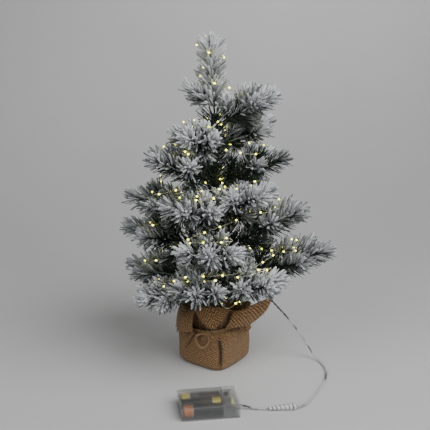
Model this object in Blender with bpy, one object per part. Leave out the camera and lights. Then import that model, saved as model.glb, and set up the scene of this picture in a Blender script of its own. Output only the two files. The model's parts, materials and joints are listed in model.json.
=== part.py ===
"""Artificial tabletop tree with a string of micro lights and a battery box.

Flocked boughs bend on a taped trunk, which stands in a burlap-wrapped weight.
Metres, +Z up. The origin is the middle of the base's underside, and -Y is the tree's front.
"""

import math
from collections import namedtuple

import bmesh
import bpy
from mathutils import Matrix, Vector

MM = 0.001
GAP = 0.3 * MM  # air between neighbouring pieces

# The tree
TREE_HEIGHT = 450 * MM
TRUNK_RADIUS = 4.5 * MM
TRUNK_TOP = 342 * MM
HINGE_RADIUS = 6 * MM  # from the trunk's axis to the bend of each bough's wire
STEM_RADIUS = 1.1 * MM
TWIG_RADIUS = 0.8 * MM
WIRE_ROOT_LAP = 0.4 * MM  # wire behind its bend
WIRE_SIDES = 6
BORE_CLEARANCE = 0.35 * MM  # round a wire in its foliage
BORE_LEAD_IN = 12 * MM  # the bore's cutter starts this far behind the foliage
FORK_SHARE = 0.42  # where the side twigs leave a stem, as a share of its length
TWIG_SHARE = 0.5  # a side twig's length, as a share of its stem's
WIRE_SHARE = 0.92  # how far a wire runs in its foliage
FOLIAGE_START = 5 * MM  # bare wire between a bend and its foliage
FOLIAGE_SIDES = 8

# Each bough: height of its bend, azimuth (0 is +X, 90 is +Y), rise, length,
# the angle between the stem and its side twigs, and its foliage's radius.
Bough = namedtuple("Bough", "height azimuth rise length fork radius")
LOW, MIDDLE, HIGH = 11.5, 11.5, 10.5
BOUGHS = (
    Bough(108, -10, 22, 160, 35, LOW),
    Bough(104, -54, 18, 126, 35, LOW),
    Bough(106, -103, 15, 114, 32, LOW),
    Bough(104, -148, 3, 108, 30, LOW),
    Bough(108, 162, 8, 118, 34, LOW),
    Bough(104, 78, 9, 120, 44, LOW),
    Bough(156, -20, 31, 136, 45, MIDDLE),
    Bough(156, -94, 15, 110, 45, MIDDLE),
    Bough(156, 174, 16, 118, 45, MIDDLE),
    Bough(156, 82, 20, 120, 50, MIDDLE),
    Bough(204, -50, 30, 104, 50, MIDDLE),
    Bough(204, -114, 20, 102, 50, MIDDLE),
    Bough(204, 178, 14, 112, 50, MIDDLE),
    Bough(204, 70, 24, 108, 55, MIDDLE),
    Bough(252, -14, 24, 98, 60, HIGH),
    Bough(252, -142, 26, 104, 60, HIGH),
    Bough(252, 108, 28, 92, 62, HIGH),
    Bough(298, -118, 22, 76, 58, HIGH),
    Bough(298, 32, 18, 84, 60, HIGH),
    Bough(330, -16, 29, 86, 40, HIGH),
)

# The leader, the upright shoot at the top
LEADER_ROOT = TRUNK_TOP + 1.5 * MM
LEADER_TIP_X = -7 * MM
LEADER_RADIUS = 13 * MM
LEADER_TWIG_HEIGHT = 352 * MM
LEADER_TWIG_LENGTH = 46 * MM
LEADER_TWIG_AZIMUTHS = (-160, 95)
LEADER_TWIG_RISE = 38

# The weight, and the burlap round it: a rounded square in plan
BASE_YAW = 54
BURLAP_HALF = 41 * MM
BURLAP_WALL = 2.0 * MM
BURLAP_SIDES = 48
WEIGHT_HALF = BURLAP_HALF - BURLAP_WALL - 2 * MM
WEIGHT_HEIGHT = 46 * MM
SOCKET_DEPTH = 34 * MM  # the trunk's hole in the weight
TIE_HEIGHT = 58 * MM
TIE_HALF_WIDTH = 2 * MM
WAIST = 0.84  # of the body's size, under the twine
WAIST_SQUARE = 0.4  # 0 for a round waist, 1 for one as square as the body
SHOULDER_SIZE = 0.95  # of the body's size
SHOULDER_SQUARE = 0.9
SHOULDER_HEIGHT = 51 * MM
BODY_TOP = 40 * MM  # of the body's upright sides
BODY_BOTTOM = 14 * MM
FOOT_SIZE = 0.90  # of the body's size, on the floor
RIM_RADIUS = 45 * MM
RIM_HEIGHT = 80 * MM
RIM_CORNER_REACH = 9 * MM  # how much further each corner of the cloth reaches
RIGHT_CORNER_AZIMUTH = -14
RIGHT_CORNER_REACH = 24 * MM
RIGHT_CORNER_LIFT = 14 * MM
TWINE_RADIUS = 1.2 * MM
KNOT_AZIMUTH = -102
KNOT_RADIUS = 3.2 * MM
KNOT_STANDOFF = 4.2 * MM  # of the knot's centre, from the cloth
BOW_HALF_WIDTH = 8 * MM
BOW_SHIFT = 6 * MM  # to the knot's left
BOW_HALF_DROP = 7.5 * MM
BOW_STANDOFF = 2.5 * MM  # of the bow's top, from the knot's centre
BOW_LEAN = 3.4 * MM  # outwards at half its drop, to clear the body of the cloth

# The battery box, which lies on the floor in front of the tree
BOX_CORNER = Vector((-40, -180, 0)) * MM
BOX_YAW = 8.5
BOX_LENGTH = 73 * MM
BOX_DEPTH = 50 * MM
BOX_HEIGHT = 18 * MM
BOX_WALL = 1.6 * MM
BAY_LENGTH = 53 * MM
LID_LENGTH = 56 * MM
LID_THICKNESS = 1.5 * MM
LID_GROOVE_HEIGHT = 1.2 * MM
LID_GROOVE_DEPTH = 1.0 * MM
LID_TONGUE = 0.7 * MM  # its reach into the groove
LID_TONGUE_HEIGHT = 0.6 * MM
LID_RIDGES = 4  # for the thumb
LID_RIDGE_START = 8 * MM
LID_RIDGE_PITCH = 2.2 * MM
LID_RIDGE_WIDTH = 1.0 * MM
LID_RIDGE_HEIGHT = 0.5 * MM
LID_RIDGE_INSET = 15 * MM  # from the box's front and back
CELL_RADIUS = 7.1 * MM
CELL_LENGTH = 49.2 * MM
CELL_NUB_RADIUS = 2.7 * MM
CELL_NUB_LENGTH = 1.2 * MM
CELL_PITCH = 15.4 * MM
CELL_EDGE = 0.6 * MM  # its chamfers
CONTACT_THICKNESS = 0.4 * MM
CONTACT_HALF_WIDTH = 5.5 * MM
CONTACT_LOW, CONTACT_HIGH = 3 * MM, 14.5 * MM
WIRE_NOTCH_Y = (22 * MM, 28 * MM)  # through the rib behind the cells
WIRE_NOTCH_Z = (3 * MM, 8 * MM)
SWITCH_SLOT_LENGTH = 8 * MM
SWITCH_SLOT_HEIGHT = 3.2 * MM
SWITCH_SLOT_X = 64 * MM
SWITCH_SLOT_Z = 8 * MM
SWITCH_TRAVEL = 3 * MM
SWITCH_GRIP_HALF = 2.2 * MM
SWITCH_GRIP_REACH = 1.6 * MM  # out of the wall
SWITCH_FLANGE_HALF_LENGTH = 3.4 * MM
SWITCH_FLANGE_HALF_HEIGHT = 2.6 * MM
SWITCH_FLANGE_BACK = 1.6 * MM  # of its inner face, behind the wall

# The lights' wire, the lead and the sleeve on it
LIGHT_WIRE_RADIUS = 0.5 * MM
LIGHT_WIRE_LIFT = 2.4 * MM  # over the foliage
TIER_CHANGE_REACH = 15 * MM  # outwards, where the wire climbs to the next tier
TIER_CHANGE_LIFT = 12 * MM
LEADER_LIGHT_POINTS = 13  # of the wire's route round the leader
LEADER_LIGHT_START = -20  # azimuth
LEADER_LIGHT_TURN = 50  # degrees from each point to the next
LEADER_LIGHT_REACH = 20 * MM
LEADER_LIGHT_LOW, LEADER_LIGHT_HIGH = 378 * MM, 440 * MM
LEAD_RADIUS = 1.3 * MM
LEAD_EXIT_Y = 20 * MM  # the lead's hole in the box's right wall, along the box's own axes
LEAD_EXIT_Z = 6 * MM
LEAD_STRAIGHT = 4.5 * MM  # of the lead, as it leaves the sleeve
SLEEVE_LEFT = Vector((66.5, -151.5, 2.9)) * MM
SLEEVE_RIGHT = Vector((102, -149.3, 4.9)) * MM
SLEEVE_SMALL_RADIUS = 2.6 * MM
SLEEVE_LARGE_RADIUS = 4.6 * MM
SLEEVE_RIBS = 8


# ---------------------------------------------------------------- materials


def material(name, colour, roughness, metallic=0.0, alpha=1.0):
    made = bpy.data.materials.new(name)
    made.use_nodes = True
    shader = made.node_tree.nodes["Principled BSDF"]
    shader.inputs["Base Color"].default_value = (*colour, 1.0)
    shader.inputs["Roughness"].default_value = roughness
    shader.inputs["Metallic"].default_value = metallic
    shader.inputs["Alpha"].default_value = alpha
    return made


def needles_material(name):
    return material(name, (0.36, 0.42, 0.38), 0.9)


def wire_material(name):
    return material(name, (0.10, 0.14, 0.11), 0.5, 0.6)


def cement_material(name):
    return material(name, (0.48, 0.46, 0.43), 0.9)


def burlap_material(name):
    return material(name, (0.36, 0.23, 0.12), 0.95)


def twine_material(name):
    return material(name, (0.42, 0.28, 0.15), 0.95)


def clear_plastic_material(name):
    return material(name, (0.62, 0.62, 0.60), 0.15, alpha=0.4)


def cell_material(name):
    return material(name, (0.06, 0.06, 0.06), 0.35, 0.4)


def contact_material(name):
    return material(name, (0.70, 0.70, 0.68), 0.3, 1.0)


def switch_material(name):
    return material(name, (0.05, 0.05, 0.05), 0.5)


def light_wire_material(name):
    return material(name, (0.60, 0.62, 0.55), 0.3, 0.8)


def lead_material(name):
    return material(name, (0.72, 0.72, 0.70), 0.2)


# ---------------------------------------------------------------- helpers


def remove_everything():
    for old in list(bpy.data.objects):
        bpy.data.objects.remove(old, do_unlink=True)


def add_object(name, bm, make_material=None):
    bmesh.ops.recalc_face_normals(bm, faces=bm.faces)
    mesh = bpy.data.meshes.new(name)
    bm.to_mesh(mesh)
    bm.free()
    made = bpy.data.objects.new(name, mesh)
    bpy.context.scene.collection.objects.link(made)
    if make_material:
        mesh.materials.append(make_material(name))
    return made


def smooth(obj, degrees=35):
    obj.data.shade_smooth()
    obj.data.set_sharp_from_angle(angle=math.radians(degrees))


def apply_modifiers(obj):
    graph = bpy.context.evaluated_depsgraph_get()
    mesh = bpy.data.meshes.new_from_object(obj.evaluated_get(graph))
    obj.modifiers.clear()
    obj.data = mesh


def boolean(target, operation, tool):
    """Joins or cuts target with tool, and removes the tool."""
    modifier = target.modifiers.new("Boolean", "BOOLEAN")
    modifier.operation = operation
    modifier.object = tool
    apply_modifiers(target)
    bpy.data.objects.remove(tool, do_unlink=True)


def skin_rings(bm, rings, closed=False):
    """Bridges rings of points, and caps the first and last unless the run is closed."""
    made = [[bm.verts.new(point) for point in ring] for ring in rings]
    count = len(made[0])
    following = made[1:] + made[:1] if closed else made[1:]
    for low, high in zip(made, following):
        for i in range(count):
            j = (i + 1) % count
            bm.faces.new((low[i], low[j], high[j], high[i]))
    if not closed:
        bm.faces.new(made[0])
        bm.faces.new(made[-1])


def ring_round(centre, along, radius, sides):
    """Points round a circle, square to along."""
    along = along.normalized()
    across = along.cross(Vector((0, 0, 1)))
    if across.length < 0.01:
        across = Vector((0, 1, 0))
    across.normalize()
    up = across.cross(along)
    points = []
    for i in range(sides):
        angle = math.tau * i / sides
        points.append(centre + radius * (math.cos(angle) * across + math.sin(angle) * up))
    return points


def rod(start, end, stations, sides):
    """A solid of revolution: stations are (share of the way from start to end, radius)."""
    bm = bmesh.new()
    along = end - start
    rings = [ring_round(start + share * along, along, radius, sides) for share, radius in stations]
    skin_rings(bm, rings)
    return bm


def box(low, high):
    bm = bmesh.new()
    bmesh.ops.create_cube(bm, size=1)
    low, high = Vector(low), Vector(high)
    bmesh.ops.scale(bm, vec=high - low, verts=bm.verts)
    bmesh.ops.translate(bm, vec=(low + high) / 2, verts=bm.verts)
    return bm


def bevel_edges(bm, width, segments, chosen=None):
    edges = [edge for edge in bm.edges if chosen is None or chosen(edge)]
    bmesh.ops.bevel(bm, geom=edges, offset=width, segments=segments, affect="EDGES", profile=0.5)


def polar(azimuth, radius, height):
    angle = math.radians(azimuth)
    return Vector((radius * math.cos(angle), radius * math.sin(angle), height))


def heading(azimuth, rise):
    return polar(azimuth, math.cos(math.radians(rise)), math.sin(math.radians(rise)))


def spline_point(p0, p1, p2, p3, t):
    """A Catmull-Rom curve's point between p1 and p2."""
    return 0.5 * (
        2 * p1 + (p2 - p0) * t + (2 * p0 - 5 * p1 + 4 * p2 - p3) * t * t
        + (3 * p1 - p0 - 3 * p2 + p3) * t ** 3
    )


def smooth_route(route, spacing):
    """Evenly spaced points on a smooth curve through the route's points."""
    ends = [2 * route[0] - route[1], *route, 2 * route[-1] - route[-2]]
    fine = [route[0]]
    for p0, p1, p2, p3 in zip(ends, ends[1:], ends[2:], ends[3:]):
        fine += [spline_point(p0, p1, p2, p3, (i + 1) / 24) for i in range(24)]
    travelled = [0.0]
    for a, b in zip(fine, fine[1:]):
        travelled.append(travelled[-1] + (b - a).length)
    count = max(2, round(travelled[-1] / spacing))
    points, at = [], 0
    for i in range(count + 1):
        wanted = travelled[-1] * i / count
        while at < len(fine) - 2 and travelled[at + 1] < wanted:
            at += 1
        share = (wanted - travelled[at]) / max(travelled[at + 1] - travelled[at], 1e-9)
        points.append(fine[at].lerp(fine[at + 1], min(share, 1.0)))
    return points


def tube(name, points, radius, make_material):
    """A round cord along the points, with flat ends."""
    curve = bpy.data.curves.new(name, "CURVE")
    curve.dimensions = "3D"
    curve.bevel_depth = radius
    curve.bevel_resolution = 2
    curve.render_resolution_u = 0
    curve.use_fill_caps = True
    spline = curve.splines.new("POLY")
    spline.points.add(len(points) - 1)
    for place, point in zip(spline.points, points):
        place.co = (*point, 1.0)
    made = bpy.data.objects.new(name, curve)
    bpy.context.scene.collection.objects.link(made)
    curve.materials.append(make_material(name))
    return made


# ---------------------------------------------------------------- boughs


def bough_root(bough):
    return polar(bough.azimuth, HINGE_RADIUS, bough.height * MM)


def bough_arms(bough):
    """(start, end) of the stem and of its two side twigs."""
    root = bough_root(bough)
    length = bough.length * MM
    stem = heading(bough.azimuth, bough.rise)
    fork = root + FORK_SHARE * length * stem
    arms = [(root, root + length * stem)]
    for side in (-1, 1):
        twig = heading(bough.azimuth + side * bough.fork, bough.rise)
        arms.append((fork, fork + TWIG_SHARE * length * twig))
    return arms


def wire_tree(name, arms, growth=0.0, root_lap=WIRE_ROOT_LAP):
    """A stem of wire with twigs twisted into it; growth makes the cutter of its bores."""
    whole = None
    for index, (start, end) in enumerate(arms):
        radius = (TWIG_RADIUS if index else STEM_RADIUS) + growth
        along = (end - start).normalized()
        first = start if index else start - root_lap * along
        last = start + WIRE_SHARE * (end - start) + growth * along
        piece = add_object(name, rod(first, last, ((0, radius), (1, radius)), WIRE_SIDES))
        if whole is None:
            whole = piece
        else:
            boolean(whole, "UNION", piece)
    return whole


def lobe(start, end, radius, buried):
    """One brush of foliage; a side twig's starts buried in its stem's."""
    first = 0.62 if buried else 0.26
    stations = ((0.0, first * radius), (0.26, radius), (0.78, radius), (1.0, 0.45 * radius))
    return rod(start, end, stations, FOLIAGE_SIDES)


def foliage(name, arms, radius):
    """The brushes of one bough, with a bore for its wire that is open at the root."""
    stem_start, stem_end = arms[0]
    along = (stem_end - stem_start).normalized()
    stem_lobe = lobe(stem_start + FOLIAGE_START * along, stem_end, radius, False)
    whole = add_object(name, stem_lobe, needles_material)
    for start, end in arms[1:]:
        boolean(whole, "UNION", add_object(name, lobe(start, end, radius, True)))
    boolean(whole, "DIFFERENCE", wire_tree(name, arms, BORE_CLEARANCE, BORE_LEAD_IN))
    smooth(whole)
    return whole


def build_boughs():
    for number, bough in enumerate(BOUGHS, 1):
        arms = bough_arms(bough)
        wire = wire_tree(f"bough_{number:02d}_wire", arms)
        wire.data.materials.clear()
        wire.data.materials.append(wire_material(wire.name))
        needles = foliage(f"bough_{number:02d}_needles", arms, bough.radius * MM)
        for piece in (wire, needles):
            put_origin(piece, bough_root(bough))


def put_origin(obj, place):
    """Moves an object's origin to a place, without moving its shape."""
    obj.data.transform(Matrix.Translation(-place))
    obj.location = place


def leader_arms():
    root = Vector((0, 0, LEADER_ROOT))
    tip = Vector((LEADER_TIP_X, 0, TREE_HEIGHT))
    share = (LEADER_TWIG_HEIGHT - LEADER_ROOT) / (TREE_HEIGHT - LEADER_ROOT)
    fork = root.lerp(tip, share)
    arms = [(root, tip)]
    for azimuth in LEADER_TWIG_AZIMUTHS:
        arms.append((fork, fork + LEADER_TWIG_LENGTH * heading(azimuth, LEADER_TWIG_RISE)))
    return arms


def build_leader():
    arms = leader_arms()
    wire = wire_tree("leader_wire", arms)
    wire.data.materials.clear()
    wire.data.materials.append(wire_material(wire.name))
    needles = foliage("leader_needles", arms, LEADER_RADIUS)
    for piece in (wire, needles):
        put_origin(piece, arms[0][0])


def build_trunk():
    bottom = WEIGHT_HEIGHT + BURLAP_WALL + GAP - SOCKET_DEPTH + GAP
    start, end = Vector((0, 0, bottom)), Vector((0, 0, TRUNK_TOP))
    bm = rod(start, end, ((0, TRUNK_RADIUS), (1, TRUNK_RADIUS)), 12)
    smooth(add_object("trunk", bm, wire_material))


# ---------------------------------------------------------------- base


def base_reach(azimuth, half):
    """Radius of a rounded square in plan, turned by the base's yaw."""
    angle = math.radians(azimuth - BASE_YAW)
    return half / (math.cos(angle) ** 4 + math.sin(angle) ** 4) ** 0.25


def squareness_reach(azimuth, half, square):
    """From a circle (square 0) to the base's rounded square (square 1)."""
    return half * (1 - square) + square * base_reach(azimuth, half)


def build_weight():
    floor = BURLAP_WALL + GAP
    azimuths = [360 * i / BURLAP_SIDES for i in range(BURLAP_SIDES)]
    stations = ((0.90, 0.0), (1.0, 0.12), (1.0, 0.94), (0.94, 1.0))
    bm = bmesh.new()
    skin_rings(bm, [
        [polar(a, base_reach(a, WEIGHT_HALF * size), floor + share * WEIGHT_HEIGHT) for a in azimuths]
        for size, share in stations
    ])
    weight = add_object("cement_weight", bm, cement_material)
    top = floor + WEIGHT_HEIGHT
    start, end = Vector((0, 0, top - SOCKET_DEPTH)), Vector((0, 0, top + 10 * MM))
    radius = TRUNK_RADIUS + GAP
    boolean(weight, "DIFFERENCE", add_object("socket", rod(start, end, ((0, radius), (1, radius)), 12)))
    smooth(weight)


def turn_between(azimuth, other):
    """The angle between two azimuths, in radians, either way round."""
    return math.radians((azimuth - other + 180) % 360 - 180)


def rim_point(azimuth):
    """The loose cloth's edge over the tie: four corners, the right one drawn far out."""
    corner = (0.5 + 0.5 * math.cos(4 * turn_between(azimuth, RIGHT_CORNER_AZIMUTH))) ** 2
    right = math.exp(-((turn_between(azimuth, RIGHT_CORNER_AZIMUTH) / 0.22) ** 2))
    radius = RIM_RADIUS + RIM_CORNER_REACH * corner + RIGHT_CORNER_REACH * right
    return polar(azimuth, radius, RIM_HEIGHT + RIGHT_CORNER_LIFT * right)


def burlap_ring(half, square, height, azimuths):
    return [polar(a, squareness_reach(a, half, square), height) for a in azimuths]


def build_burlap():
    """The cloth: round the weight, in at the tie, and out to a loose rim."""
    azimuths = [360 * i / BURLAP_SIDES for i in range(BURLAP_SIDES)]
    half, wall = BURLAP_HALF, BURLAP_WALL
    waist = WAIST * half
    rim = [rim_point(a) for a in azimuths]
    neck = burlap_ring(waist, WAIST_SQUARE, TIE_HEIGHT + TIE_HALF_WIDTH, azimuths)
    throat = burlap_ring(waist - wall, WAIST_SQUARE, TIE_HEIGHT, azimuths)
    outer = [
        burlap_ring(FOOT_SIZE * half, 1.0, 0.0, azimuths),
        burlap_ring(0.98 * half, 1.0, 4 * MM, azimuths),
        burlap_ring(half, 1.0, BODY_BOTTOM, azimuths),
        burlap_ring(half, 1.0, BODY_TOP, azimuths),
        burlap_ring(SHOULDER_SIZE * half, SHOULDER_SQUARE, SHOULDER_HEIGHT, azimuths),
        burlap_ring(waist, WAIST_SQUARE, TIE_HEIGHT - TIE_HALF_WIDTH, azimuths),
        neck,
        [low.lerp(high, 0.5) + Vector((0, 0, 2 * MM)) for low, high in zip(neck, rim)],
        rim,
    ]
    inner = [
        [high - polar(a, 1.2 * MM, -1.2 * MM) for a, high in zip(azimuths, rim)],
        [low.lerp(high, 0.5) + Vector((0, 0, 4 * MM)) for low, high in zip(throat, rim)],
        throat,
        burlap_ring(SHOULDER_SIZE * half - wall, SHOULDER_SQUARE, SHOULDER_HEIGHT - MM, azimuths),
        burlap_ring(half - wall, 1.0, BODY_TOP, azimuths),
        burlap_ring(half - wall, 1.0, BODY_BOTTOM, azimuths),
        burlap_ring(0.93 * half - wall / 2, 1.0, wall, azimuths),
    ]
    bm = bmesh.new()
    skin_rings(bm, outer + inner)
    smooth(add_object("burlap_wrap", bm, burlap_material))


def loop_of_twine(name, points):
    """A closed ring of twine."""
    bm = bmesh.new()
    rings = []
    for i, point in enumerate(points):
        along = points[(i + 1) % len(points)] - points[i - 1]
        rings.append(ring_round(point, along, TWINE_RADIUS, WIRE_SIDES))
    skin_rings(bm, rings, closed=True)
    return add_object(name, bm)


def build_twine():
    """Twine round the waist, its knot, one hanging loop and a tail."""
    reach = TWINE_RADIUS + 2 * GAP
    waist = [
        polar(a, squareness_reach(a, WAIST * BURLAP_HALF, WAIST_SQUARE) + reach, TIE_HEIGHT)
        for a in range(0, 360, 10)
    ]
    tie = loop_of_twine("twine_tie", waist)
    tie.data.materials.append(twine_material(tie.name))
    out = heading(KNOT_AZIMUTH, 0)
    side = Vector((0, 0, 1)).cross(out)
    knot_reach = squareness_reach(KNOT_AZIMUTH, WAIST * BURLAP_HALF, WAIST_SQUARE) + KNOT_STANDOFF
    knot = polar(KNOT_AZIMUTH, knot_reach, TIE_HEIGHT)
    bm = bmesh.new()
    bmesh.ops.create_icosphere(bm, subdivisions=2, radius=KNOT_RADIUS, matrix=Matrix.Translation(knot))
    boolean(tie, "UNION", add_object("knot", bm))
    bow = []
    for i in range(16):
        angle = math.tau * i / 16
        drop = 1 - math.sin(angle)
        across = BOW_HALF_WIDTH * math.cos(angle) - BOW_SHIFT
        reach = BOW_STANDOFF + BOW_LEAN * drop
        bow.append(knot + across * side + reach * out - Vector((0, 0, BOW_HALF_DROP * drop)))
    boolean(tie, "UNION", loop_of_twine("bow", bow))
    smooth(tie, 60)


# ---------------------------------------------------------------- battery box


def box_matrix():
    return Matrix.Translation(BOX_CORNER) @ Matrix.Rotation(math.radians(BOX_YAW), 4, "Z")


def place_in_box(obj, shift=(0, 0, 0)):
    """Puts a piece that was modelled along the box's own axes where the box lies."""
    obj.matrix_world = box_matrix() @ Matrix.Translation(Vector(shift))


def build_tray():
    """Bottom, walls, the rib behind the cells, and the fixed cover over the switch."""
    length, depth, height, wall = BOX_LENGTH, BOX_DEPTH, BOX_HEIGHT, BOX_WALL
    bm = box((0, 0, 0), (length, depth, height))
    bevel_edges(bm, 1.0 * MM, 2, lambda edge: abs(edge.verts[0].co.z - edge.verts[1].co.z) > height / 2)
    tray = add_object("battery_tray", bm, clear_plastic_material)
    bay_end = wall + BAY_LENGTH
    lid_floor = height - LID_THICKNESS - GAP
    lid_end = LID_LENGTH + GAP
    groove = LID_GROOVE_DEPTH
    room_start = bay_end + wall
    switch_half_length, switch_half_height = SWITCH_SLOT_LENGTH / 2, SWITCH_SLOT_HEIGHT / 2
    (notch_start, notch_end), (notch_low, notch_high) = WIRE_NOTCH_Y, WIRE_NOTCH_Z
    cuts = (
        ((wall, wall, wall), (bay_end, depth - wall, height + MM)),
        ((-MM, wall, lid_floor), (lid_end, depth - wall, height + MM)),
        ((-MM, wall - groove, lid_floor), (lid_end, depth - wall + groove, lid_floor + LID_GROOVE_HEIGHT)),
        ((-MM, -MM, lid_floor), (wall, depth + MM, height + MM)),
        ((room_start, wall, wall), (length - wall, depth - wall, lid_floor - wall)),
        ((bay_end - MM, notch_start, notch_low), (room_start + MM, notch_end, notch_high)),
        (
            (SWITCH_SLOT_X - switch_half_length, depth - wall - MM, SWITCH_SLOT_Z - switch_half_height),
            (SWITCH_SLOT_X + switch_half_length, depth + MM, SWITCH_SLOT_Z + switch_half_height),
        ),
    )
    for low, high in cuts:
        boolean(tray, "DIFFERENCE", add_object("cut", box(low, high)))
    start = Vector((length - wall - MM, LEAD_EXIT_Y, LEAD_EXIT_Z))
    end = Vector((length + MM, LEAD_EXIT_Y, LEAD_EXIT_Z))
    hole = LEAD_RADIUS + 0.5 * MM
    boolean(tray, "DIFFERENCE", add_object("hole", rod(start, end, ((0, hole), (1, hole)), 12)))
    place_in_box(tray)


def build_lid():
    depth, wall = BOX_DEPTH, BOX_WALL
    low = BOX_HEIGHT - LID_THICKNESS
    edge = wall + GAP
    plate = box((0, edge, low), (LID_LENGTH, depth - edge, BOX_HEIGHT))
    lid = add_object("battery_lid", plate, clear_plastic_material)
    outer = edge - LID_TONGUE
    tongue = box((edge, outer, low), (LID_LENGTH, depth - outer, low + LID_TONGUE_HEIGHT))
    boolean(lid, "UNION", add_object("tongue", tongue))
    for i in range(LID_RIDGES):
        start = LID_RIDGE_START - LID_RIDGE_WIDTH / 2 + LID_RIDGE_PITCH * i
        ridge_low = (start, LID_RIDGE_INSET, low + MM)
        ridge_high = (start + LID_RIDGE_WIDTH, depth - LID_RIDGE_INSET, BOX_HEIGHT + LID_RIDGE_HEIGHT)
        boolean(lid, "UNION", add_object("ridge", box(ridge_low, ridge_high)))
    place_in_box(lid)


def cell_y(index):
    return BOX_DEPTH / 2 + (index - 1) * CELL_PITCH


def build_cells():
    """Three AA cells, the middle one the other way round."""
    clearance = (BAY_LENGTH - CELL_LENGTH - CELL_NUB_LENGTH) / 2
    for index, name in enumerate(("cell_front", "cell_middle", "cell_rear")):
        z = BOX_WALL + CELL_RADIUS + GAP
        first = BOX_WALL + clearance
        last = first + CELL_LENGTH + CELL_NUB_LENGTH
        start, end = Vector((last, cell_y(index), z)), Vector((first, cell_y(index), z))
        if index == 1:
            start, end = end, start
        whole = CELL_LENGTH + CELL_NUB_LENGTH
        shoulder = CELL_LENGTH / whole
        edge = CELL_EDGE / whole
        bm = rod(start, end, (
            (0, CELL_RADIUS - CELL_EDGE), (edge, CELL_RADIUS), (shoulder - edge, CELL_RADIUS),
            (shoulder, CELL_RADIUS - CELL_EDGE), (shoulder, CELL_NUB_RADIUS), (1, CELL_NUB_RADIUS),
        ), 20)
        cell = add_object(name, bm, cell_material)
        smooth(cell)
        place_in_box(cell)


def build_contacts():
    """Sprung plates at the cells' ends, which join the three in series."""
    left = BOX_WALL + GAP
    right = BOX_WALL + BAY_LENGTH - GAP - CONTACT_THICKNESS
    plates = (
        ("contact_positive", left, 0, 0), ("contact_link_left", left, 1, 2),
        ("contact_link_right", right, 0, 1), ("contact_negative", right, 2, 2),
    )
    for name, x, first, last in plates:
        low = (x, cell_y(first) - CONTACT_HALF_WIDTH, CONTACT_LOW)
        high = (x + CONTACT_THICKNESS, cell_y(last) + CONTACT_HALF_WIDTH, CONTACT_HIGH)
        plate = add_object(name, box(low, high), contact_material)
        place_in_box(plate)


def build_switch():
    """The slide switch's knob: a flange inside the wall and a grip outside it."""
    inside = -BOX_WALL - GAP
    back = -BOX_WALL - SWITCH_FLANGE_BACK
    grip_half_height = SWITCH_SLOT_HEIGHT / 2 - GAP
    grip = box(
        (-SWITCH_GRIP_HALF, (inside + back) / 2, -grip_half_height),
        (SWITCH_GRIP_HALF, SWITCH_GRIP_REACH, grip_half_height),
    )
    knob = add_object("switch_knob", grip, switch_material)
    flange = box(
        (-SWITCH_FLANGE_HALF_LENGTH, back, -SWITCH_FLANGE_HALF_HEIGHT),
        (SWITCH_FLANGE_HALF_LENGTH, inside, SWITCH_FLANGE_HALF_HEIGHT),
    )
    boolean(knob, "UNION", add_object("flange", flange))
    place_in_box(knob, (SWITCH_SLOT_X - SWITCH_TRAVEL / 2, BOX_DEPTH, SWITCH_SLOT_Z))


# ---------------------------------------------------------------- lights and lead

def over_arm(bough, arm, share):
    """A point over one of a bough's brushes, a share of the way along it."""
    start, end = bough_arms(bough)[arm]
    lift = bough.radius * MM + LIGHT_WIRE_LIFT + LIGHT_WIRE_RADIUS
    up = heading(bough.azimuth, bough.rise + 90)
    return start.lerp(end, share) + lift * up


def climb(low, high):
    """Two points outside the brushes, where the wire climbs from tier to tier."""
    points = []
    for share, lift in ((0.4, 0.0), (0.8, TIER_CHANGE_LIFT)):
        point = low.lerp(high, share)
        point += TIER_CHANGE_REACH * Vector((point.x, point.y, 0)).normalized()
        point.z += lift
        points.append(point)
    return points


def light_wire_route():
    """Round the tree, tier by tier, over each bough's brushes."""
    tiers = (BOUGHS[:6], BOUGHS[6:10], BOUGHS[10:14], BOUGHS[14:17], BOUGHS[17:19])
    route = []
    for tier in tiers:
        ordered = sorted(tier, key=lambda bough: bough.azimuth)
        round_tier = []
        for bough in ordered:
            round_tier += [over_arm(bough, 1, 0.75), over_arm(bough, 0, 0.72), over_arm(bough, 2, 0.75)]
        if route:
            route += climb(route[-1], round_tier[0])
        route += round_tier
    route.append(over_arm(BOUGHS[-1], 0, 0.5))
    for i in range(LEADER_LIGHT_POINTS):
        share = i / (LEADER_LIGHT_POINTS - 1)
        centre = Vector((LEADER_TIP_X * share, 0, 0))
        radius = LEADER_LIGHT_REACH * (1 - 0.2 * share)
        height = LEADER_LIGHT_LOW + share * (LEADER_LIGHT_HIGH - LEADER_LIGHT_LOW)
        route.append(centre + polar(LEADER_LIGHT_START - LEADER_LIGHT_TURN * i, radius, height))
    return route


def build_light_wire():
    tube("light_wire", light_wire_route(), LIGHT_WIRE_RADIUS, light_wire_material)


def tree_lead_route():
    """From the trunk, over the cloth's rim, down to the floor and round to the sleeve."""
    sleeve = (SLEEVE_RIGHT - SLEEVE_LEFT).normalized()
    points = (
        (16, 4, 86), (30, 5, 92), (46, 5, 95), (62, 3, 93), (76, 0, 85), (89, -2, 72),
        (102, -3, 57), (114, -4, 41), (125, -5, 25), (133, -7, 12), (140, -13, 4.5),
        (146, -24, 1.8), (150, -42, 1.6), (148.5, -62, 1.6), (143, -82, 1.6), (135, -101, 1.6),
        (127, -116, 1.6), (120, -130, 1.8), (114, -141, 3.0),
    )
    route = [Vector(point) * MM for point in points]
    return route + [SLEEVE_RIGHT + LEAD_STRAIGHT * sleeve, SLEEVE_RIGHT + GAP * sleeve]


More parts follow.
